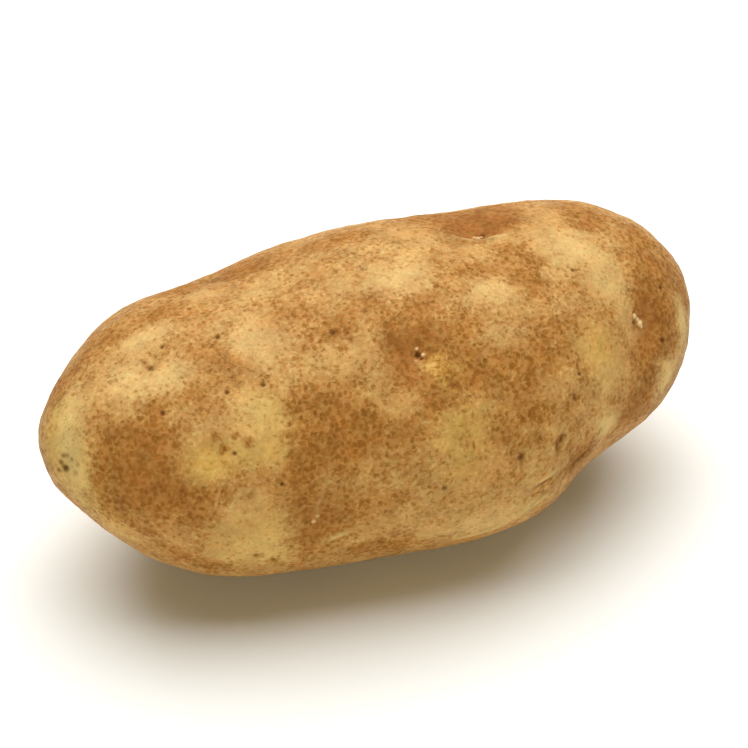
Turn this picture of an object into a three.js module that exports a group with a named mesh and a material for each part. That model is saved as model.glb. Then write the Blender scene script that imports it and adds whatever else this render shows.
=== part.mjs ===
// A russet potato: one solid tuber, lying on the small flat spot that it rests on.
// Millimetres. +X runs along the tuber from its stem end to its bud end, +Z is up,
// and the origin is under the middle of its bounding box, on the surface it lies on.
import * as THREE from "three";

// Driving dimensions.
const LENGTH = 130;
const HEIGHT_OVER_WIDTH = 0.86; // a cross-section is an oval, lower than it is wide
const FLAT_SPOT_DEPTH = 0.8; // how much of the round underside the flat spot takes away
const FINENESS = 18; // each edge of the icosahedron is cut into this many parts, plus one

// The lofted body, at even steps from the stem end (first) to the bud end (last): half
// the width of the round that a section is taken from, and how far the middle of the
// section lies to the side (+Y) and up (+Z) of a straight axis.
const SECTIONS = [
  { halfWidth: 31, side: 0, up: 4 },
  { halfWidth: 34, side: 1.5, up: 0.8 },
  { halfWidth: 33.5, side: 0.5, up: -1.2 },
  { halfWidth: 34, side: -1.5, up: 0.3 },
  { halfWidth: 34.5, side: -2, up: 0 },
  { halfWidth: 34, side: 0.5, up: 3 },
  { halfWidth: 39.5, side: 2.5, up: 3.5 },
];

// Where growth pushed the skin out (rise over 0) or left it low (rise under 0). "along"
// is the place on the axis from the middle of the tuber, "around" is degrees from the
// top, over +90 at the back (+Y) to 180 underneath, and "reach" is how far it spreads.
const SWELLINGS = [
  { along: -44, around: -122, reach: 20, rise: 3 }, // belly by the stem end
  { along: 47, around: -112, reach: 16, rise: 2.4 }, // underside of the bud end
  { along: 62, around: -80, reach: 12, rise: 1 }, // nose of the bud end
  { along: 12, around: -115, reach: 16, rise: 1.4 }, // belly by the bud end
  { along: -45, around: 30, reach: 11, rise: 0.6 }, // shoulder above the stem scar
  { along: -28, around: 31, reach: 8, rise: -1 }, // fold across the back of the shoulder
  { along: 33, around: -114, reach: 7, rise: -1.2 }, // crease under the bud end
];

// The scar that the stem left and the eyes, each a shallow dimple, in the same terms. The
// eyes wind round the tuber and stand closer together towards the bud end.
const DIMPLES = [
  { along: -63, around: -68, reach: 4, rise: -1.0 }, // stem scar
  { along: -45, around: -11, reach: 4, rise: -0.6 },
  { along: -24, around: -90, reach: 5, rise: -0.9 },
  { along: -2, around: 1, reach: 4, rise: -0.5 },
  { along: -1, around: -38, reach: 5, rise: -1.1 },
  { along: 23, around: 7, reach: 6, rise: -1.2 },
  { along: 46, around: -57, reach: 5, rise: -0.9 },
  { along: -38, around: 96, reach: 5, rise: -0.9 },
  { along: -9, around: 74, reach: 5, rise: -1.1 },
  { along: 10, around: 128, reach: 6, rise: -1.1 },
  { along: 34, around: 66, reach: 5, rise: -1.0 },
  { along: 45, around: 118, reach: 5, rise: -0.9 },
  { along: 54, around: 12, reach: 4, rise: -0.7 },
  { along: 61, around: 70, reach: 4, rise: -0.7 },
  { along: -46, around: 172, reach: 5, rise: -0.8 },
  { along: 36, around: -160, reach: 5, rise: -0.8 },
];

// One of the section's sizes as a smooth curve along the tuber.
function curveOf(size) {
  const points = SECTIONS.map((section, i) => new THREE.Vector2(i, section[size]));
  return new THREE.SplineCurve(points);
}

const halfWidthCurve = curveOf("halfWidth");
const sideCurve = curveOf("side");
const upCurve = curveOf("up");

// The place on the smooth body of a point of the unit sphere, and the way out of the skin.
function onBody(spherePoint) {
  const along = (spherePoint.x + 1) / 2;
  const halfWidth = halfWidthCurve.getPoint(along).y;
  const radii = new THREE.Vector3(LENGTH / 2, halfWidth, halfWidth * HEIGHT_OVER_WIDTH);
  const middle = new THREE.Vector3(0, sideCurve.getPoint(along).y, upCurve.getPoint(along).y);
  return {
    place: spherePoint.clone().multiply(radii).add(middle),
    outward: spherePoint.clone().divide(radii).normalize(),
  };
}

function spherePointAt({ along, around }) {
  const x = along / (LENGTH / 2);
  const r = Math.sqrt(1 - x * x);
  const angle = THREE.MathUtils.degToRad(around);
  return new THREE.Vector3(x, r * Math.sin(angle), r * Math.cos(angle));
}

const swellings = [...SWELLINGS, ...DIMPLES].map((swelling) => ({
  ...swelling,
  centre: onBody(spherePointAt(swelling)).place,
}));

// How far the skin stands out at a place, over all the swellings and dimples.
function riseAt(place) {
  return swellings.reduce((total, { centre, reach, rise }) => {
    const distance = place.distanceTo(centre) / reach;
    return total + rise * Math.exp(-distance * distance);
  }, 0);
}

function tuberGeometry() {
  const geometry = new THREE.IcosahedronGeometry(1, FINENESS);
  const position = geometry.getAttribute("position");
  for (let i = 0; i < position.count; i++) {
    const { place, outward } = onBody(new THREE.Vector3().fromBufferAttribute(position, i));
    place.addScaledVector(outward, riseAt(place));
    position.setXYZ(i, place.x, place.y, place.z);
  }
  // The flat spot: whatever lies under its plane is pressed up onto it.
  geometry.computeBoundingBox();
  const flatLevel = geometry.boundingBox.min.z + FLAT_SPOT_DEPTH;
  for (let i = 0; i < position.count; i++) {
    position.setZ(i, Math.max(position.getZ(i) - flatLevel, 0));
  }
  geometry.computeBoundingBox();
  const middle = geometry.boundingBox.getCenter(new THREE.Vector3());
  geometry.translate(-middle.x, -middle.y, 0);
  geometry.computeVertexNormals();
  return geometry;
}

const skin = new THREE.MeshStandardMaterial({
  color: "#bd8d4e",
  roughness: 0.62,
  metalness: 0,
});

const tuber = new THREE.Mesh(tuberGeometry(), skin);
tuber.name = "tuber";

const potato = new THREE.Group();
potato.add(tuber);

export default potato;
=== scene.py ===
import math
from collections import namedtuple

import bpy
import numpy as np
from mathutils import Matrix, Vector


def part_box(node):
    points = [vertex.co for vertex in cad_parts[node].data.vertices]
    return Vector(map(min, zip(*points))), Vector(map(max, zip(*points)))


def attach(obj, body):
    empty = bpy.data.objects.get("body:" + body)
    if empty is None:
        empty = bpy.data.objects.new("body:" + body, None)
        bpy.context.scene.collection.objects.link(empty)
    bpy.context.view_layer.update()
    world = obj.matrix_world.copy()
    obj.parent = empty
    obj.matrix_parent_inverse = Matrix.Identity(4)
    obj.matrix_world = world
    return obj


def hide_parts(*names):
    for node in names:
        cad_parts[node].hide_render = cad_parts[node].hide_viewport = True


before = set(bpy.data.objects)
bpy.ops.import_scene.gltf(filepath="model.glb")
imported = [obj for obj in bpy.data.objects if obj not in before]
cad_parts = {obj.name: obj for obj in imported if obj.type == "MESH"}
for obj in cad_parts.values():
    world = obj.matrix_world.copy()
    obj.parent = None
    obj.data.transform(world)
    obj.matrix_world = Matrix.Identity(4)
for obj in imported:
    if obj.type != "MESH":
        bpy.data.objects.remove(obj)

bl_info = {
    "name": "Russet Potato",
    "version": (1, 0, 0),
    "blender": (4, 5, 0),
    "location": "3D View > Sidebar > Potato",
    "description": "Grows a russet potato with its eyes, stem scar and netted skin",
    "category": "Add Mesh",
}

MM = 0.001
POTATO = "russet_potato"

# How far round an eye, a lenticel and a streak the mesh is cut finer.
FINE_ROUND_EYE = 0.9  # widths of the eye
FINER_IN_EYE = 0.4  # widths of the eye
FINER_ROUND_LENTICEL = 3  # reaches of the lenticel
FINER_ROUND_STREAK = 1.3  # millimetres, round each of its points
POINTS_ON_STREAK = 7

# How much cork the skin has anywhere, how much more it has in a russet patch, and what
# share of it a clear patch takes away.
CORK_ANYWHERE = 0.48
CORK_IN_RUSSET = 0.52
CORK_LOST_IN_CLEAR = 0.85

LENTICEL_STRENGTH = 0.85
PATCH_EDGE = 1.25  # over 1, a patch fades out faster at its edge than a bell curve does
STREAK_END = 0.3  # how strong a streak still is at its two ends
LEAST_WEIGHT = 0.002  # below this, a vertex isn't moved
FLAT_MARGIN = 3  # millimetres above the floor in which the swells and lumps fade in

# The camera: what it looks at, how far off it stands, its angles round and up from the
# front of the tuber, and its lens in millimetres.
CAMERA_TARGET = Vector((-0.8, -0.7, 32.9)) * MM
CAMERA_DISTANCE = 528 * MM
CAMERA_AZIMUTH = math.radians(-24)
CAMERA_ELEVATION = math.radians(38)
CAMERA_LENS = 135

LOW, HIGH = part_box("tuber")

# A place on the skin is given as (along, around). "along" is millimetres from the middle
# of the tuber towards its bud end, and "around" is degrees about the tuber's long axis,
# from 0 on top over -90 at the front (or 90 at the back) to 180 underneath. Sizes on the
# skin are in millimetres too.

# A small spot in an eye: how far it stands from the middle of the eye, in millimetres
# towards the bud end and towards the front, how far it reaches, and how strong it is.
Spot = namedtuple("Spot", "ahead down reach strength")
TWO_BUDS = (Spot(-0.5, 0.1, 0.35, 0.9), Spot(0.4, -0.3, 0.3, 0.8))
ONE_BUD = (Spot(0.1, 0.2, 0.35, 0.8), Spot(-0.3, -0.3, 0.25, 0.5))
SMALL_PIT = (Spot(0.2, 0.7, 0.4, 0.7),)

# An eye: its hollow, the brow that curves round one side of the hollow (facing the way
# that "faces" says, in degrees from the bud end, turning to the front), its buds and pits.
Eye = namedtuple("Eye", "along around width depth brow faces blush buds pits")
EYES = (
    Eye(-0.5, -42, 5, 0.5, 0.5, 30, 0.8,
        (Spot(0.1, -1.1, 0.3, 0.9), Spot(0.9, 0.3, 0.35, 1.0), Spot(-0.7, 0.9, 0.3, 0.35)),
        (Spot(0, 0, 0.5, 1.0), Spot(0.3, 0.7, 0.3, 0.8))),
    Eye(23, 9, 8, 0.6, 0.5, 90, 0.5,
        (Spot(-1, -0.2, 0.3, 0.6), Spot(-0.5, 0.4, 0.45, 0.9), Spot(0.3, 0.2, 0.3, 0.7)),
        (Spot(0.8, -0.3, 0.45, 1.0), Spot(0.3, 0.9, 0.35, 1.0), Spot(-1.3, 0.7, 0.35, 0.8))),
    Eye(46, -51.5, 7, 0.5, 0.4, 200, 0.8,
        (Spot(-0.6, -0.9, 0.5, 1.0), Spot(0, -0.2, 0.4, 0.8), Spot(0.3, 0.6, 0.6, 1.0),
         Spot(0.4, 1.3, 0.35, 0.8)),
        (Spot(-1.0, 0.2, 0.35, 0.6), Spot(-0.8, -1.5, 0.3, 0.6))),
    Eye(-24.5, -94, 7, 0.3, 0.3, 110, 0.2,
        (Spot(-0.4, 0.6, 0.4, 0.7), Spot(0.4, -0.6, 0.35, 0.6)),
        (Spot(-0.9, 0.2, 0.25, 0.4),)),
    Eye(-45.5, -5, 5, 0.4, 0.3, 60, 0.1,
        (),
        (Spot(0, 0.1, 0.55, 0.8), Spot(0.3, 0.9, 0.35, 0.6), Spot(-0.5, -1.5, 0.5, 0.5))),
    Eye(-2.5, 1, 5, 0.3, 0.2, 90, 0.1,
        (),
        (Spot(-0.2, 0, 0.5, 0.45), Spot(0.5, 0.3, 0.4, 0.4), Spot(-0.3, -0.9, 0.3, 0.4))),
    Eye(-38, 96, 6, 0.4, 0.4, 200, 0.6, ONE_BUD, SMALL_PIT),
    Eye(-9, 74, 7, 0.5, 0.4, 190, 0.8, TWO_BUDS, SMALL_PIT),
    Eye(10, 128, 7, 0.5, 0.4, 170, 0.7, ONE_BUD, SMALL_PIT),
    Eye(34, 66, 7, 0.5, 0.4, 180, 0.8, TWO_BUDS, SMALL_PIT),
    Eye(45, 118, 6, 0.4, 0.4, 200, 0.6, ONE_BUD, SMALL_PIT),
    Eye(54, 12, 5, 0.3, 0.3, 180, 0.4, ONE_BUD, SMALL_PIT),
    Eye(61, 70, 4, 0.3, 0.3, 180, 0.5, ONE_BUD, SMALL_PIT),
    Eye(-46, 172, 6, 0.3, 0.3, 180, 0.3, (), SMALL_PIT),
    Eye(36, -160, 6, 0.3, 0.3, 180, 0.5, ONE_BUD, SMALL_PIT),
)

# The larger lenticels, the pores that show as single dark specks: place and reach.
LENTICELS = (
    (-46.5, -33, 0.5),
    (-42, 2, 0.4),
    (-32.5, -6.5, 0.45),
    (-28.5, -35.5, 0.5),
    (-35, -34, 0.45),
    (-13.5, -24, 0.6),
    (50.5, -65, 0.6),
    (53.5, -38, 0.4),
    (35.5, -23, 0.4),
    (-1.5, -87.5, 0.45),
    (-30, -76, 0.4),
    (-37, -60, 0.4),
    (29, -64, 0.35),
    (-20, 80, 0.5),
    (3, 95, 0.5),
    (22, 110, 0.45),
    (-45, 130, 0.5),
    (40, 150, 0.4),
)

# A patch of skin: its place, how far it reaches along and around, and how strong it is.
Patch = namedtuple("Patch", "along around length width strength")


def patch_table(*rows):
    return [Patch(*row) for row in rows]


# Where the cork of the skin has cracked into brown netting.
RUSSET = patch_table(
    # belly and shoulder by the stem end
    (-53, -52, 8, 10, 0.85),
    (-57, -30, 4, 5, 0.6),
    (-47, -42, 4, 6, 0.85),
    (-46, -27, 6, 3, 0.6),
    (-49, -68, 6, 5, 0.95),
    (-45, -75, 5, 4, 0.75),
    (-56, -72, 5, 4, 0.7),
    (-60, -74, 4, 8, 1.0),
    (-46, -82, 8, 3, 0.4),
    (-42, -78, 4, 3, 0.5),
    (-54, -97, 5, 3, 0.5),
    (-44, -100, 5, 4, 0.4),
    (-47, -112, 5, 3, 0.6),
    (-42, -118, 5, 3, 0.7),
    (-56, 17, 4, 5, 0.8),
    (-50, 30, 5, 4, 0.75),
    (-59, 38, 4, 6, 0.9),
    (-36, -14, 6, 4, 0.4),
    (-31, -22, 5, 5, 0.35),
    (-38, -27, 5, 4, 0.2),
    (-38, -39, 4, 3, 0.35),
    (-41, 22, 6, 5, 0.45),
    (-37, 18, 5, 3, 0.35),
    (-33, 40, 6, 4, 0.8),
    (-20, 38, 7, 4, 0.8),
    (-35, -66, 5, 4, 0.5),
    (11, -71, 3, 3, 0.5),
    (7, -111, 4, 2.5, 0.5),
    (-20, -100, 4, 3, 0.6),
    # band over the front, down to the lowest eye
    (-18, -45, 6, 4, 0.95),
    (-23, -50, 4, 4, 1.0),
    (-19, -58, 7, 5, 0.95),
    (-25, -62, 3.5, 5, 0.95),
    (-18, -67, 4, 4, 0.95),
    (-27, -72, 3.5, 6, 1.0),
    (-24, -86, 3.5, 4, 0.8),
    (-25, -103, 5, 5, 0.9),
    (-26, -95, 4, 4, 0.9),
    (-22, -95, 6, 5, 0.8),
    (-14, -64, 5, 4, 0.55),
    (-13, -112, 6, 3, 0.8),
    (-13, -90, 5, 3, 0.4),
    (-8, -115, 5, 3, 0.4),
    (-15, -12, 6, 5, 0.4),
    (-17, -3, 6, 4, 0.3),
    (-13.5, -24, 4, 3, 0.75),
    (-2, 25, 6, 3, 0.75),
    (-17, 30, 7, 3, 0.6),
    # around the middle eye and on to the bud end
    (-4.5, -17, 5, 3, 0.65),
    (-3, -34, 3.5, 6, 0.95),
    (-6, -46, 4, 4, 0.9),
    (-2, -56, 4, 3.5, 0.95),
    (-6, -62, 5, 3.5, 0.45),
    (-7, -75, 4, 3, 0.4),
    (2, -36, 4, 4, 1.0),
    (5.5, -43, 4, 4, 0.85),
    (6, -52, 5, 4, 0.85),
    (10, -55, 6, 3.5, 0.4),
    (11, -34, 5, 3, 0.7),
    (5, -29, 5, 2.5, 0.55),
    (4, -22, 4, 2, 0.45),
    (16, -54, 6, 4, 0.75),
    (17, -66, 5, 5, 0.8),
    (14.5, -75, 3.5, 4, 0.5),
    (26, -48, 6, 4, 0.75),
    (23.5, -56, 3, 3, 0.7),
    (15, -12, 7, 3, 0.6),
    (18, -16, 3, 2, 0.5),
    (24.5, -23, 4, 4, 0.85),
    (28.5, -13, 4, 3, 0.9),
    (25.5, -4, 3, 2.5, 0.85),
    (25, 19, 9, 7, 1.0),
    (21, 31, 8, 6, 1.0),
    (30, 22, 6, 6, 1.0),
    (20, 4, 4, 2, 0.6),
    (17, 27, 6, 3, 0.8),
    (35, -26, 4, 3, 0.6),
    (33, -47, 2.5, 2, 0.6),
    (17.5, -99, 4, 2, 0.5),
    (27.5, -95, 5, 3, 0.75),
    (35.5, -83, 3, 2.5, 0.5),
    (30, -66, 3, 4, 0.35),
    # bud end
    (46, 12, 5, 5, 0.75),
    (43, 3, 3, 2, 0.6),
    (54, 2, 4, 4, 0.75),
    (54, -12, 3, 3, 0.4),
    (53, -27, 5, 8, 0.9),
    (58, -38, 4, 8, 0.85),
    (50.5, -43, 4.5, 6, 1.0),
    (51, -53, 5, 5, 1.0),
    (46, -60, 4.5, 3.5, 0.9),
    (51, -64, 3, 3, 0.9),
    (45, -69, 4, 4, 0.9),
    (52, -73, 3, 3, 0.85),
    (45.5, -79, 3, 3.5, 0.7),
    (42, -90, 4, 4, 0.75),
    (39.5, -42, 2, 2, 0.7),
    (45, -15, 2.5, 2, 0.5),
    # back and underside
    (-50, 80, 9, 8, 0.8),
    (-38, 100, 8, 7, 0.9),
    (-20, 60, 9, 6, 0.6),
    (-8, 80, 8, 8, 0.9),
    (10, 125, 10, 8, 0.9),
    (14, 60, 8, 6, 0.6),
    (33, 70, 9, 8, 0.85),
    (46, 115, 8, 7, 0.8),
    (58, 75, 6, 8, 0.8),
    (-25, 140, 10, 8, 0.6),
    (-48, 165, 8, 7, 0.7),
    (36, -160, 10, 8, 0.7),
    (5, 170, 9, 6, 0.4),
    (-20, -150, 9, 7, 0.5),
)

# Single brown blotches on the clear skin.
BLOTCHES = patch_table(
    (-38.5, -57, 1.2, 1.1, 1.0),
    (-34, -57, 1.4, 1.1, 1.0),
    (-39.5, -51, 1.1, 1.3, 0.8),
    (-36, -53, 1.0, 1.0, 0.8),
    (-15, -24.5, 1.5, 1.3, 1.0),
    (-13, -31.5, 1.3, 1.2, 1.0),
    (-6, -15.5, 1.4, 1.3, 1.0),
    (-35, -108, 1.4, 1.1, 0.9),
    (-32, -112, 1.1, 1.1, 0.8),
    (29, -27, 1.3, 1.1, 0.9),
    (8, -18, 1.2, 1.1, 0.9),
    (-12, 104, 1.3, 1.3, 0.9),
    (22, 90, 1.3, 1.2, 0.9),
    (51, 93, 1.2, 1.2, 0.9),
)

# Where the skin stayed smooth and clear.
CLEAR = patch_table(
    (-62, -25, 5, 14, 1.0),
    (-50, -7, 4, 5, 0.8),
    (-44, -16, 5, 4.5, 0.9),
    (-44, 12, 6, 3, 0.95),
    (-53, -17, 4, 4, 0.7),
    (-42.5, -62, 5, 4, 0.85),
    (-41, -52, 4, 4, 0.75),
    (-45, -36, 2, 2, 0.6),
    (-36, -86, 5, 6, 0.9),
    (-40, -97, 4, 5, 0.85),
    (-34, -103, 6, 8, 0.95),
    (-56, -110, 5, 3, 0.7),
    (-32, -49, 6, 6, 0.9),
    (-30, -57, 3, 6, 0.9),
    (-32, -63, 3, 3, 0.7),
    (-34, -62, 5, 3, 0.4),
    (-27, -14, 5, 6, 0.9),
    (-30, 25, 5, 4, 0.5),
    (-15, -36, 6, 4, 0.6),
    (-9, -44, 2.5, 4, 0.4),
    (-7, -57, 4, 2.5, 0.85),
    (2, -10, 6, 5, 0.9),
    (-20, 12, 5, 3, 0.5),
    (-11, -4, 9, 6, 0.35),
    (-12, -98, 5, 3, 0.4),
    (-17, -107, 4, 1.5, 0.6),
    (17, -26, 6, 3, 0.85),
    (7, -30, 5, 3, 0.3),
    (16, -38, 8, 4, 0.3),
    (17, -5, 4, 2.5, 0.5),
    (10, 12, 6, 6, 0.5),
    (37, 14, 4, 6, 0.8),
    (25, 0, 7, 1.5, 0.6),
    (34, -6, 6, 5, 0.9),
    (38, -13, 6, 5, 1.0),
    (32.5, -23, 3, 2, 0.7),
    (15.5, -41, 3, 3, 0.5),
    (2, -49, 2.5, 3, 0.4),
    (4, -67, 6, 4, 0.5),
    (2, -78, 5, 5, 0.5),
    (6, -108, 8, 4, 0.9),
    (15, -104, 5, 2, 0.7),
    (24, -64, 3, 3, 0.5),
    (17, -92, 4, 3, 0.5),
    (2, -93, 6, 4, 0.3),
    (10, -98, 5, 3, 0.5),
    (-4, -106, 4, 3, 0.5),
    (-42, -104, 5, 4, 0.6),
    (-48, -96, 4, 3, 0.5),
    (40, -31, 5, 5, 1.0),
    (43, -47, 2.5, 8, 0.95),
    (34, -57, 5, 5, 0.9),
    (37, -68, 5, 4, 0.8),
    (34.5, -89, 3, 4, 1.0),
    (57.5, -62, 2.5, 6, 1.0),
    (51, -83, 3, 4, 1.0),
    (44, -20, 3, 4, 0.6),
    (-30, 75, 6, 8, 0.7),
    (20, 92, 9, 7, 0.8),
    (5, 46, 7, 5, 0.8),
    (-14, 108, 8, 6, 0.9),
    (-38, 62, 6, 5, 0.8),
    (50, 92, 5, 6, 0.8),
    (26, 42, 5, 4, 0.7),
    (-55, 120, 8, 9, 0.8),
    (25, 155, 9, 7, 0.6),
)

# Where the clear skin is palest.
PALEST = patch_table(
    (-44, -16, 5, 3, 0.6),
    (-44, 12, 6, 3, 0.5),
    (-50, -5, 4, 5, 0.5),
    # At the stem-end tip the palest skin is partly the tip's own pale tone and partly painted light
    # that brightens the tip.
    (-62, -25, 4, 12, 0.85),
    (-32, -48, 5, 6, 0.35),
    (-28, -14, 4, 4, 0.4),
    (2, -10, 6, 5, 0.45),
    (17, -26, 5, 3, 0.4),
    (38, -13, 5, 4, 0.5),
    (41, -31, 3, 4, 0.4),
    (34.5, -89, 2.5, 3, 0.8),
    (51, -83, 2, 3, 0.6),
    (57.5, -62, 2, 5, 0.7),
    (6, -108, 8, 4, 0.6),
    (-34, -105, 6, 5, 0.4),
    (-30, 75, 5, 6, 0.5),
    (5, 46, 5, 4, 0.4),
    (-14, 108, 6, 4, 0.5),
    (50, 92, 4, 4, 0.5),
    (-55, 120, 6, 7, 0.5),
)

# Where the clear skin is yellow.
YELLOW = patch_table(
    # At the stem-end tip the yellow is partly the tip's own tone and partly painted light that
    # brightens the tip.
    (-62, -38, 5, 14, 0.9),
    (-42.5, -62, 5, 4, 0.7),
    (-34, -62, 6, 3, 0.4),
    (-30, -50, 5, 7, 0.4),
    (-33, -103, 9, 7, 0.5),
    (2, -47, 2.5, 4, 1.0),
    (3.5, -52, 3, 3, 0.8),
    (4, -67, 5, 4, 0.5),
    (2, -78, 5, 6, 0.4),
    (34, -57, 5, 5, 0.5),
    (57.5, -62, 2.5, 6, 0.8),
    (51, -83, 3, 4, 0.7),
    (34.5, -89, 3, 4, 0.5),
    (57, -6, 3, 2, 0.7),
    (20, 92, 9, 7, 0.6),
)

# Red-brown stain in and around some of the eyes.
BLUSH = patch_table(
    (-20, 38, 7, 4, 0.4),
    (-3.5, -37, 2.5, 4, 0.7),
    (2, -36, 4, 3, 0.6),
    (49.5, -43, 3.5, 4, 0.6),
    (25, 19, 9, 7, 0.8),
    (30, 21, 5, 4, 0.5),
    (-52, -58, 6, 8, 0.4),
    (-25, -97, 5, 4, 0.4),
    (-49, -68, 6, 4, 0.4),
    (46, -60, 4, 4, 0.4),
    (42, -90, 4, 4, 0.5),
)

# The broken ring of dry crumbs that the stem left, and the dull skin round it.
SCAR = patch_table(
    (-63, -41, 0.8, 0.7, 1.0),
    (-64, -38, 0.6, 0.5, 0.7),
    (-63.5, -30, 0.5, 0.5, 0.7),
    (-63, -25, 0.5, 0.5, 0.7),
    (-62.5, -28, 0.5, 0.4, 0.5),
    (-62, -35, 0.4, 0.4, 0.5),
    (-61.5, -44, 0.6, 0.5, 0.4),
    (-62, -52, 0.7, 0.6, 0.3),
    (-61.5, 12, 1.4, 1.2, 0.15),
    (-62.5, -38, 2.5, 2.2, 0.12),
)

# A line on the skin from one place to another: its width, how far it stands out (over 0,
# a ridge) or is cut in (under 0, a crack), and how pale (over 0) or dark (under 0) it is.
Streak = namedtuple("Streak", "start end width rise tone")
STREAKS = (
    # the ridges and cracks of the crease in front of the bud end
    Streak((17, -95.5), (24, -93), 0.6, 0.35, 1.0),
    Streak((16, -97.5), (22.5, -93.5), 0.5, -0.3, -0.9),
    Streak((14, -107), (23.5, -97.5), 0.6, 0.45, 1.0),
    Streak((16.5, -105), (23.5, -96), 0.4, -0.3, -0.8),
    Streak((9, -113), (20.5, -102), 0.8, 0.5, 1.0),
    Streak((3, -116), (13, -112), 0.9, 0.4, 1.0),
    Streak((23, -98), (33, -95.5), 0.8, -0.5, -0.7),
    # short cracks near it
    Streak((23.5, -80.5), (22, -85.5), 0.55, -0.35, -1.0),
    Streak((22, -82), (21.5, -88), 0.5, -0.35, -1.0),
    Streak((24.5, -83), (23, -86.5), 0.4, 0.25, 0.6),
    Streak((14, -82), (13.5, -85.5), 0.75, -0.3, -1.0),
    Streak((26.5, -69.5), (27, -73), 0.55, -0.25, -1.0),
    # the lines that meet in the lowest eye
    Streak((-21.5, -75.5), (-24.5, -90), 0.45, 0.2, 0.6),
    Streak((-23.5, -105.5), (-17, -100), 0.7, 0.2, 0.6),
    # the fold behind the shoulder of the stem end; the dark tone along its groove is painted shade in
    # the fold
    Streak((-28, 52), (-24, 36), 1.6, -0.9, -0.4),
    Streak((-33, 50), (-28, 36), 3.0, 0.5, 0.0),
    # the edge of the upper eye's brow
    Streak((18.5, 13.5), (21.5, 6), 0.4, -0.3, -0.7),
    Streak((21.5, 6), (24.5, 3.5), 0.4, -0.3, -0.6),
    Streak((18, 10.5), (21.5, 4), 0.6, 0.3, 0.6),
    Streak((21.5, 4), (29.5, 5), 0.7, 0.3, 0.6),
)


def linear(code):
    """The linear colour of an sRGB hex code."""
    channels = [int(code[i : i + 2], 16) / 255 for i in (1, 3, 5)]
    return [c / 12.92 if c <= 0.04045 else ((c + 0.055) / 1.055) ** 2.4 for c in channels]


def length_setting(name, description, default):
    return bpy.props.FloatProperty(
        name=name, description=description, default=default, min=0, unit="LENGTH"
    )


def colour_setting(name, description, code):
    return bpy.props.FloatVectorProperty(
        name=name, description=description, default=linear(code), min=0, max=1, subtype="COLOR"
    )


class PotatoSizes(bpy.types.PropertyGroup):
    swell: length_setting("Swells", "How far the flesh swells and sinks between eyes", 0.9 * MM)
    lumps: length_setting("Lumps", "Height of the small lumps in the skin", 0.35 * MM)
    grain: length_setting("Grain", "Height of the skin's finest grain", 0.11 * MM)
    bud_height: length_setting("Bud height", "How far the buds stand out of the eyes", 0.3 * MM)
    pit_depth: length_setting("Pit depth", "Depth of the pits in the eyes and lenticels", 0.45 * MM)
    scar_depth: length_setting("Scar depth", "Depth of the crumbs in the stem scar", 0.3 * MM)
    dot_spacing: length_setting("Dot spacing", "Distance between the dots of the netting", 1.0 * MM)


class PotatoColours(bpy.types.PropertyGroup):
    pale: colour_setting("Pale skin", "Clear skin, where no cork has formed", "#C59B5E")
    dull: colour_setting("Dull skin", "Clear skin where it is a shade darker", "#BF9154")
    # Palest and yellow skin are partly painted light at the stem-end tip, where they brighten it.
    palest: colour_setting("Palest skin", "The palest of the clear skin", "#D6B87A")
    yellow: colour_setting("Yellow skin", "Clear skin that shows the flesh", "#CBA451")
    russet: colour_setting("Russet", "Brown cork of the netting", "#A0682C")
    dots: colour_setting("Dots", "Dark pores of the netting", "#7E5016")
    thin_dots: colour_setting("Thin dots", "Pores on skin that has little cork", "#8F5C20")
    blush: colour_setting("Blush", "Red-brown stain around the eyes", "#8A5222")
    buds: colour_setting("Buds", "Tips of the buds in the eyes", "#E8C896")
    crumbs: colour_setting("Crumbs", "Dry crumbs at the stem scar", "#573A12")
    # The pits colour also darkens the cracks, and along the fold behind the stem-end shoulder it is
    # painted shade.
    pits: colour_setting("Pits", "Deep pits and the larger lenticels", "#5A2D04")


def select_only(piece):
    bpy.ops.object.select_all(action="DESELECT")
    piece.select_set(True)
    bpy.context.view_layer.objects.active = piece


def skin_point(piece, along, around):
    """The point of the skin at a place, in metres, and its normal."""
    angle = math.radians(around)
    outward = Vector((0, math.sin(angle), math.cos(angle)))
    axis_point = Vector((along * MM, 0, (LOW.z + HIGH.z) / 2))
    hit, point, normal, _ = piece.ray_cast(axis_point + outward * HIGH.y * 2, -outward)
    if not hit:
        raise RuntimeError(f"no skin at {along} mm along and {around} degrees around")
    return np.array(point), np.array(normal)


def skin_directions(normal):
    """The directions along (towards the bud end) and around (towards the front) on the skin."""
    along = np.array((1.0, 0, 0)) - normal[0] * normal
    along /= np.linalg.norm(along)
    return along, -np.cross(normal, along)


def vertex_places(piece):
    places = np.empty(len(piece.data.vertices) * 3, np.float32)
    piece.data.vertices.foreach_get("co", places)
    return places.reshape(-1, 3).astype(float)


def patch_weights(piece, places, patches):
    """How strongly each vertex lies in any of the patches, from 0 to 1."""
    bare = np.ones(len(places))
    for patch in patches:
        point, normal = skin_point(piece, patch.along, patch.around)
        along, around = skin_directions(normal)
        away = (places - point) / MM
        u, v = away @ along / patch.length, away @ around / patch.width
        depth = away @ normal / max(patch.length, patch.width)
        bare *= 1 - patch.strength * np.exp(-((u * u + v * v + depth * depth) ** PATCH_EDGE))
    return 1 - bare


def streak_weights(piece, places, streak):
    """How close each vertex is to the line of a streak, from 0 to 1."""
    start, _ = skin_point(piece, *streak.start)
    end, _ = skin_point(piece, *streak.end)
    run = end - start
    share = np.clip((places - start) @ run / (run @ run), 0, 1)
    distance = np.linalg.norm(places - start - share[:, None] * run, axis=1) / MM
    taper = np.clip(np.sin(math.pi * share), STREAK_END, 1)
    return np.exp(-((distance / streak.width) ** 2)) * taper


def set_attribute(piece, name, values):
    layer = piece.data.attributes.get(name) or piece.data.attributes.new(name, "FLOAT", "POINT")
    layer.data.foreach_set("value", np.asarray(values, np.float32))


def get_attribute(piece, name):
    values = np.zeros(len(piece.data.vertices))
    piece.data.attributes[name].data.foreach_get("value", values)
    return values


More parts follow.
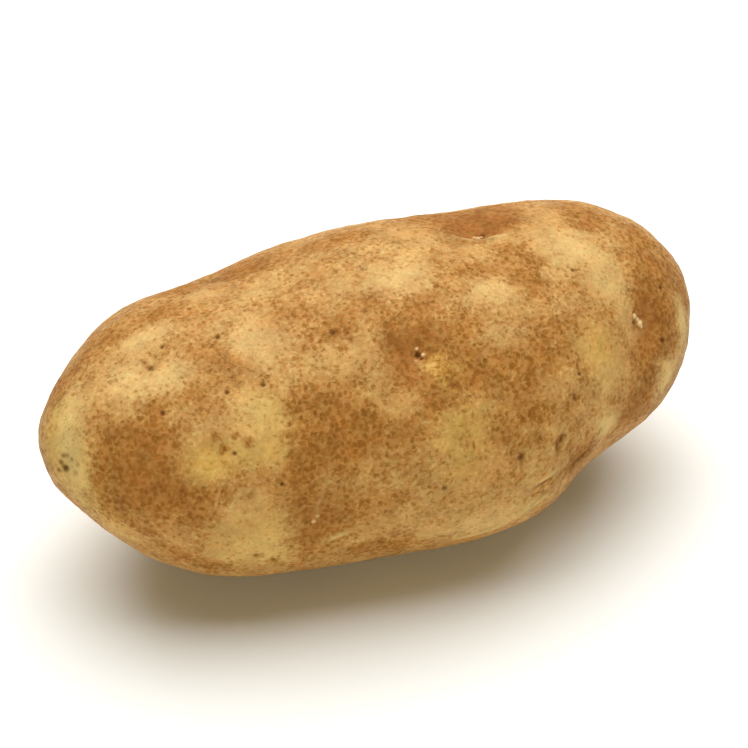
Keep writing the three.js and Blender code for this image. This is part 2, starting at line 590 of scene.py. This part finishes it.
def displace(piece, weights, height, texture=None):
    """Moves the skin out by height times its weight, and by a texture if there is one."""
    group = piece.vertex_groups.new(name="lift")
    for index in np.nonzero(np.abs(weights) > LEAST_WEIGHT)[0]:
        group.add([int(index)], float(weights[index]), "REPLACE")
    select_only(piece)
    bpy.ops.object.modifier_add(type="DISPLACE")
    lift = piece.modifiers[-1]
    lift.vertex_group = group.name
    lift.strength = height
    lift.mid_level = 0.5 if texture else 0.0
    if texture:
        lift.texture = texture
        lift.texture_coords = "LOCAL"
    bpy.ops.object.modifier_apply(modifier=lift.name)
    piece.vertex_groups.clear()


def clouds(name, size, depth):
    texture = bpy.data.textures.new(name, "CLOUDS")
    texture.noise_scale = size * MM
    texture.noise_depth = depth
    return texture


class POTATO_OT_tuber(bpy.types.Operator):
    """Grow the tuber's fine surface over its plain solid"""

    bl_idname = "potato.tuber"
    bl_label = "Tuber"

    def execute(self, context):
        sizes = context.scene.potato_sizes
        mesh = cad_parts["tuber"].data.copy()
        mesh.name = POTATO
        mesh.materials.clear()
        potato = bpy.data.objects.new(POTATO, mesh)
        context.collection.objects.link(potato)
        select_only(potato)
        bpy.ops.object.mode_set(mode="EDIT")
        bpy.ops.mesh.select_all(action="SELECT")
        bpy.ops.mesh.remove_doubles(threshold=0.001 * MM)
        bpy.ops.mesh.subdivide(number_cuts=3, smoothness=1.0)
        bpy.ops.mesh.vertices_smooth(factor=0.5, repeat=3)
        bpy.ops.object.mode_set(mode="OBJECT")

        # The flat spot that the potato lies on stays flat.
        places = vertex_places(potato)
        free = np.clip(places[:, 2] / MM / FLAT_MARGIN, 0, 1)
        displace(potato, free, sizes.swell, clouds("swells of the flesh", 16, 1))
        displace(potato, free, sizes.lumps, clouds("lumps in the skin", 4, 1))
        displace(potato, free, sizes.grain, clouds("grain of the skin", 1.6, 0))
        bpy.ops.object.shade_smooth()
        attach(potato, "root")
        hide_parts("tuber")
        return {"FINISHED"}


class POTATO_OT_eyes(bpy.types.Operator):
    """Press the eyes, lenticels, stem scar and streaks into the skin"""

    bl_idname = "potato.eyes"
    bl_label = "Eyes"

    def execute(self, context):
        sizes = context.scene.potato_sizes
        potato = bpy.data.objects[POTATO]
        fine = [(eye.along, eye.around, FINE_ROUND_EYE * eye.width) for eye in EYES]
        finer = [(eye.along, eye.around, FINER_IN_EYE * eye.width) for eye in EYES]
        finer += [(along, around, FINER_ROUND_LENTICEL * reach) for along, around, reach in LENTICELS]
        finer += [(patch.along, patch.around, patch.length) for patch in SCAR]
        for streak in STREAKS:
            for share in np.linspace(0, 1, POINTS_ON_STREAK):
                along, around = np.array(streak.start) * (1 - share) + np.array(streak.end) * share
                finer.append((along, around, FINER_ROUND_STREAK))
        self.refine(potato, fine + finer)
        self.refine(potato, finer)

        places = vertex_places(potato)
        hollow, brow, bud, pit, blush = np.zeros((5, len(places)))
        for eye in EYES:
            point, normal = skin_point(potato, eye.along, eye.around)
            along, down = skin_directions(normal)
            turn = math.radians(eye.faces)
            ahead = math.cos(turn) * along + math.sin(turn) * down
            aside = np.cross(normal, ahead)
            away = (places - point) / MM
            x, y, z = away @ ahead, away @ aside, away @ normal
            near = np.exp(-((z / eye.width) ** 2))
            size = eye.width / 2
            hollow += eye.depth * near * np.exp(-((x / size) ** 2 + (y / size / 1.3) ** 2))
            # The brow is an arc ahead of the buds, highest in its middle.
            arc = x - size * 0.55 + (y / size) ** 2 * size * 0.35
            brow += eye.brow * near * np.exp(-((arc / 0.55) ** 2) - (y / size / 0.9) ** 2)
            blush += eye.blush * near * np.exp(-((x / size + 0.5) ** 2 + (y / size / 1.3) ** 2))
            for spots, total in ((eye.buds, bud), (eye.pits, pit)):
                for spot in spots:
                    r = np.hypot(away @ along - spot.ahead, away @ down - spot.down) / spot.reach
                    np.maximum(total, spot.strength * near * np.exp(-(r**3)), out=total)
        for along, around, reach in LENTICELS:
            r = np.linalg.norm(places - skin_point(potato, along, around)[0], axis=1) / MM / reach
            np.maximum(pit, LENTICEL_STRENGTH * np.exp(-(r**3)), out=pit)

        displace(potato, np.clip(hollow, 0, 1), -1 * MM)
        displace(potato, np.clip(brow, 0, 1), 1 * MM)
        displace(potato, pit, -sizes.pit_depth)
        displace(potato, bud, sizes.bud_height)
        displace(potato, patch_weights(potato, places, SCAR), -sizes.scar_depth)
        set_attribute(potato, "bud", bud)
        set_attribute(potato, "pit", pit * (1 - bud))
        set_attribute(potato, "blush", np.clip(blush, 0, 1))

        for streak in STREAKS:
            weights = streak_weights(potato, vertex_places(potato), streak)
            displace(potato, weights, streak.rise * MM)
        return {"FINISHED"}

    def refine(self, potato, spots):
        """Cuts the faces finer within reach of each spot (along, around, reach)."""
        centres = np.empty(len(potato.data.polygons) * 3, np.float32)
        potato.data.polygons.foreach_get("center", centres)
        centres = centres.reshape(-1, 3)
        close = np.zeros(len(centres), bool)
        for along, around, reach in spots:
            point, _ = skin_point(potato, along, around)
            close |= np.linalg.norm(centres - point, axis=1) < reach * MM
        select_only(potato)
        bpy.ops.object.mode_set(mode="EDIT")
        bpy.ops.mesh.select_mode(type="FACE")
        bpy.ops.mesh.select_all(action="DESELECT")
        bpy.ops.object.mode_set(mode="OBJECT")
        potato.data.polygons.foreach_set("select", close)
        bpy.ops.object.mode_set(mode="EDIT")
        bpy.ops.mesh.subdivide(number_cuts=1, smoothness=1.0, ngon=False)
        bpy.ops.object.mode_set(mode="OBJECT")


def add_node(material, kind, inputs=(), **settings):
    """Adds a shader node with its settings, its input values and the links into it."""
    node = material.node_tree.nodes.new("ShaderNode" + kind)
    for name, value in settings.items():
        setattr(node, name, value)
    for name, value in dict(inputs).items():
        if isinstance(value, bpy.types.NodeSocket):
            material.node_tree.links.new(value, node.inputs[name])
        else:
            node.inputs[name].default_value = value
    return node


def potato_periderm(sizes, colours):
    """The corky periderm of a russet potato: thin and pale where it is clear, and cracked
    into a brown netting of dots where cork built up. It is matt, with a faint waxy sheen."""
    material = bpy.data.materials.new("potato periderm")
    material.use_nodes = True
    material.node_tree.nodes.clear()

    def node(kind, inputs=(), **settings):
        return add_node(material, kind, inputs, **settings)

    def maths(operation, first, second=0.0):
        return node("Math", {0: first, 1: second}, operation=operation).outputs[0]

    def ramp(value, low, high, out_low=0.0, out_high=1.0):
        inputs = {"Value": value, "From Min": low, "From Max": high}
        inputs.update({"To Min": out_low, "To Max": out_high})
        return node("MapRange", inputs, interpolation_type="SMOOTHSTEP").outputs["Result"]

    def blend(factor, first, second, mode="MIX"):
        inputs = {"Factor": factor, 6: first, 7: second}
        return node("Mix", inputs, data_type="RGBA", blend_type=mode).outputs[2]

    def attribute(name):
        return node("Attribute", attribute_name=name).outputs["Fac"]

    def noise(scale, detail=2.0, roughness=0.5, vector=None):
        inputs = {"Vector": vector or mm, "Scale": scale, "Detail": detail, "Roughness": roughness}
        return node("TexNoise", inputs).outputs["Fac"]

    def rgba(colour):
        return (*colour, 1.0)

    # One unit of every pattern is a millimetre of the real skin.
    place = node("TexCoord").outputs["Object"]
    mm = node("Mapping", {"Vector": place, "Scale": (1000, 1000, 1000)}).outputs["Vector"]

    # How much cork there is, with ragged edges to the patches.
    ragged = maths("SUBTRACT", noise(0.3, 4.0, 0.65), 0.5)
    cork = maths("ADD", attribute("russet"), maths("MULTIPLY", ragged, 1.2))
    fine = maths("SUBTRACT", noise(1.2, 3.0, 0.6), 0.5)
    cork = maths("ADD", cork, maths("MULTIPLY", fine, 0.7))

    # The dots of the netting stand dot_spacing apart, and grow with the cork.
    shaken = node("TexNoise", {"Vector": mm, "Scale": 1.1, "Detail": 1.0}).outputs["Color"]
    shift = node("VectorMath", {0: shaken, 1: (0.5, 0.5, 0.5)}, operation="SUBTRACT").outputs[0]
    shift = node("VectorMath", {0: shift, "Scale": 1.1}, operation="SCALE").outputs[0]
    bent = node("VectorMath", {0: mm, 1: shift}, operation="ADD").outputs[0]
    spacing = sizes.dot_spacing / MM
    cells = node("TexVoronoi", {"Vector": bent, "Scale": 1 / spacing, "Randomness": 0.9})
    distance = cells.outputs["Distance"]
    cell_tone = node("SeparateColor", {0: cells.outputs["Color"]}).outputs[0]
    reach = ramp(cork, -0.35, 0.8, 0.18, 0.40)
    dots = ramp(maths("SUBTRACT", reach, distance), -0.15, 0.13)
    dots = maths("MULTIPLY", dots, ramp(cell_tone, 0.1, 0.8, 0.15, 1.0))
    dots = maths("MULTIPLY", dots, ramp(cork, -0.1, 0.8, 0.5, 0.9))

    # Short cracks wind between the dots.
    swerve = maths("SUBTRACT", noise(0.75, 0.5, 0.5, bent), 0.5)
    swerve = maths("ABSOLUTE", swerve)
    crack_width = ramp(cork, 0.2, 1.0, 0.0, 0.09)
    cracks = ramp(maths("SUBTRACT", crack_width, swerve), -0.05, 0.05)
    cracks = maths("MULTIPLY", cracks, ramp(noise(0.7, 1.0), 0.4, 0.6))

    # The clear skin drifts between two tones, and is yellow or palest in places; at the stem-end tip
    # the yellow and palest are partly painted light that brightens the tip.
    base = blend(ramp(noise(0.09, 2.0), 0.35, 0.65), rgba(colours.pale), rgba(colours.dull))
    base = blend(attribute("yellow"), base, rgba(colours.yellow))
    base = blend(maths("MULTIPLY", attribute("palest"), 0.85), base, rgba(colours.palest))
    # Cork browns it, but less in a fine network and in specks between the dots.
    fill = ramp(cork, 0.05, 1.0)
    tone = blend(fill, base, rgba(colours.russet))
    network = ramp(distance, 0.35, 0.75)
    light = maths("MULTIPLY", maths("MULTIPLY", network, fill), 0.28)
    tone = blend(light, tone, base)
    specks = maths("MULTIPLY", network, ramp(noise(1.5, 2.0), 0.45, 0.65))
    specks = maths("MULTIPLY", specks, ramp(fill, 0.2, 1.0, 0.4, 0.1))
    tone = blend(specks, tone, rgba(colours.palest))

    dark = blend(fill, rgba(colours.thin_dots), rgba(colours.dots))
    tone = blend(maths("MULTIPLY", cracks, 0.5), tone, dark)
    tone = blend(maths("MULTIPLY", dots, 0.72), tone, dark)
    tone = blend(maths("MULTIPLY", attribute("blush"), 0.5), tone, rgba(colours.blush))
    tone = blend(attribute("pale_streak"), tone, rgba(colours.palest))
    tone = blend(attribute("crumbs"), tone, rgba(colours.crumbs))
    tone = blend(attribute("bud"), tone, rgba(colours.buds))
    # Pits, lenticels and cracks darken here; along the fold behind the stem-end shoulder this
    # darkening is painted shade.
    tone = blend(maths("MULTIPLY", attribute("pit"), 0.95), tone, rgba(colours.pits))

    # The whole skin is a little mottled, more in red than in green and blue.
    mottle_red = ramp(noise(0.22, 5.0, 0.7), 0.25, 0.75, 0.84, 1.14)
    mottle_green = ramp(noise(0.5, 4.0, 0.7, bent), 0.25, 0.75, 0.92, 1.08)
    green = maths("MULTIPLY", mottle_red, mottle_green)
    mottle = node("CombineColor", {0: mottle_red, 1: green, 2: green}).outputs[0]
    tone = blend(1.0, tone, mottle, mode="MULTIPLY")

    # Dots and cracks sink a little in the finest grain, and thick cork is more matt.
    relief = maths("ADD", maths("MULTIPLY", dots, -0.5), maths("MULTIPLY", cracks, -0.4))
    relief = maths("ADD", relief, maths("MULTIPLY", noise(1.8, 4.0, 0.65), 1.1))
    bump = node("Bump", {"Height": relief, "Strength": 0.9, "Distance": 0.14 * MM})
    roughness = ramp(fill, 0.0, 1.0, 0.5, 0.7)

    skin = node(
        "BsdfPrincipled",
        {
            "Base Color": tone,
            "Roughness": roughness,
            "Normal": bump.outputs["Normal"],
            "IOR": 1.45,
            "Specular IOR Level": 0.12,
        },
    )
    node("OutputMaterial", {"Surface": skin.outputs["BSDF"]})
    return material


class POTATO_OT_skin(bpy.types.Operator):
    """Paint the patches of the skin and give it its material"""

    bl_idname = "potato.skin"
    bl_label = "Skin"

    def execute(self, context):
        potato = bpy.data.objects[POTATO]
        places = vertex_places(potato)
        russet = CORK_ANYWHERE + CORK_IN_RUSSET * patch_weights(potato, places, RUSSET)
        russet *= 1 - CORK_LOST_IN_CLEAR * patch_weights(potato, places, CLEAR)
        russet = np.maximum(russet, patch_weights(potato, places, BLOTCHES))
        set_attribute(potato, "russet", russet)
        set_attribute(potato, "palest", patch_weights(potato, places, PALEST))
        set_attribute(potato, "yellow", patch_weights(potato, places, YELLOW))
        blush = get_attribute(potato, "blush") + patch_weights(potato, places, BLUSH)
        set_attribute(potato, "blush", np.clip(blush, 0, 1))
        pale, dark = np.zeros((2, len(places)))
        for streak in STREAKS:
            weights = streak_weights(potato, places, streak) * streak.tone
            pale = np.maximum(pale, weights)
            dark = np.maximum(dark, -weights)
        set_attribute(potato, "pale_streak", pale)
        # The dark tone of the streaks joins the pits; along the fold behind the stem-end shoulder it
        # is painted shade.
        set_attribute(potato, "pit", np.maximum(get_attribute(potato, "pit"), dark))
        set_attribute(potato, "crumbs", patch_weights(potato, places, SCAR))
        potato.data.materials.append(
            potato_periderm(context.scene.potato_sizes, context.scene.potato_colours)
        )
        return {"FINISHED"}


class POTATO_OT_stage(bpy.types.Operator):
    """Set the floor, the soft light and the camera"""

    bl_idname = "potato.stage"
    bl_label = "Stage"

    def execute(self, context):
        scene = context.scene
        bpy.ops.object.select_all(action="DESELECT")
        bpy.ops.mesh.primitive_plane_add(size=6.0, location=(0, 0, 0))
        floor = context.object
        floor.name = "floor"
        paper = bpy.data.materials.new("white paper")
        paper.use_nodes = True
        shader = paper.node_tree.nodes["Principled BSDF"]
        shader.inputs["Base Color"].default_value = (0.9, 0.9, 0.89, 1)
        shader.inputs["Roughness"].default_value = 0.9
        shader.inputs["Specular IOR Level"].default_value = 0.1
        floor.data.materials.append(paper)

        world = bpy.data.worlds.new("studio")
        world.use_nodes = True
        surroundings = world.node_tree.nodes["Background"]
        surroundings.inputs["Color"].default_value = (0.97, 1, 0.6, 1)
        surroundings.inputs["Strength"].default_value = 0.09
        scene.world = world

        self.softbox("overhead softbox", (0.18, 0.42, 1.36), side=2.0, power=46)
        warm = (1, 0.95, 0.64)
        self.softbox("low front fill", (-0.84, -1.86, 0.56), side=1.6, power=18, colour=warm)

        camera = bpy.data.objects.new("camera", bpy.data.cameras.new("camera"))
        context.collection.objects.link(camera)
        level = Vector((math.sin(CAMERA_AZIMUTH), -math.cos(CAMERA_AZIMUTH), 0))
        back = (level + Vector((0, 0, math.tan(CAMERA_ELEVATION)))).normalized()
        camera.location = CAMERA_TARGET + back * CAMERA_DISTANCE
        camera.rotation_euler = back.to_track_quat("Z", "Y").to_euler()
        camera.data.lens = CAMERA_LENS
        scene.camera = camera
        scene.view_settings.view_transform = "Standard"
        return {"FINISHED"}

    def softbox(self, name, place, side, power, colour=(1, 1, 1)):
        light = bpy.data.lights.new(name, "AREA")
        light.size = side
        light.energy = power
        light.color = colour
        lamp = bpy.data.objects.new(name, light)
        lamp.location = place
        lamp.rotation_euler = Vector(place).to_track_quat("Z", "Y").to_euler()
        bpy.context.collection.objects.link(lamp)


class POTATO_PT_sidebar(bpy.types.Panel):
    """Lists the potato's operators, sizes and colours"""

    bl_idname = "POTATO_PT_sidebar"
    bl_label = "Russet Potato"
    bl_space_type = "VIEW_3D"
    bl_region_type = "UI"
    bl_category = "Potato"

    def draw(self, context):
        for step in (POTATO_OT_tuber, POTATO_OT_eyes, POTATO_OT_skin, POTATO_OT_stage):
            self.layout.operator(step.bl_idname)
        for group in (context.scene.potato_sizes, context.scene.potato_colours):
            for name in type(group).__annotations__:
                self.layout.prop(group, name)


CLASSES = (
    PotatoSizes,
    PotatoColours,
    POTATO_OT_tuber,
    POTATO_OT_eyes,
    POTATO_OT_skin,
    POTATO_OT_stage,
    POTATO_PT_sidebar,
)


def register():
    for item in CLASSES:
        bpy.utils.register_class(item)
    bpy.types.Scene.potato_sizes = bpy.props.PointerProperty(type=PotatoSizes)
    bpy.types.Scene.potato_colours = bpy.props.PointerProperty(type=PotatoColours)


def unregister():
    del bpy.types.Scene.potato_sizes
    del bpy.types.Scene.potato_colours
    for item in reversed(CLASSES):
        bpy.utils.unregister_class(item)


def main():
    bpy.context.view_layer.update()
    register()
    bpy.ops.potato.tuber()
    bpy.ops.potato.eyes()
    bpy.ops.potato.skin()
    bpy.ops.potato.stage()


if __name__ == "__main__":
    main()
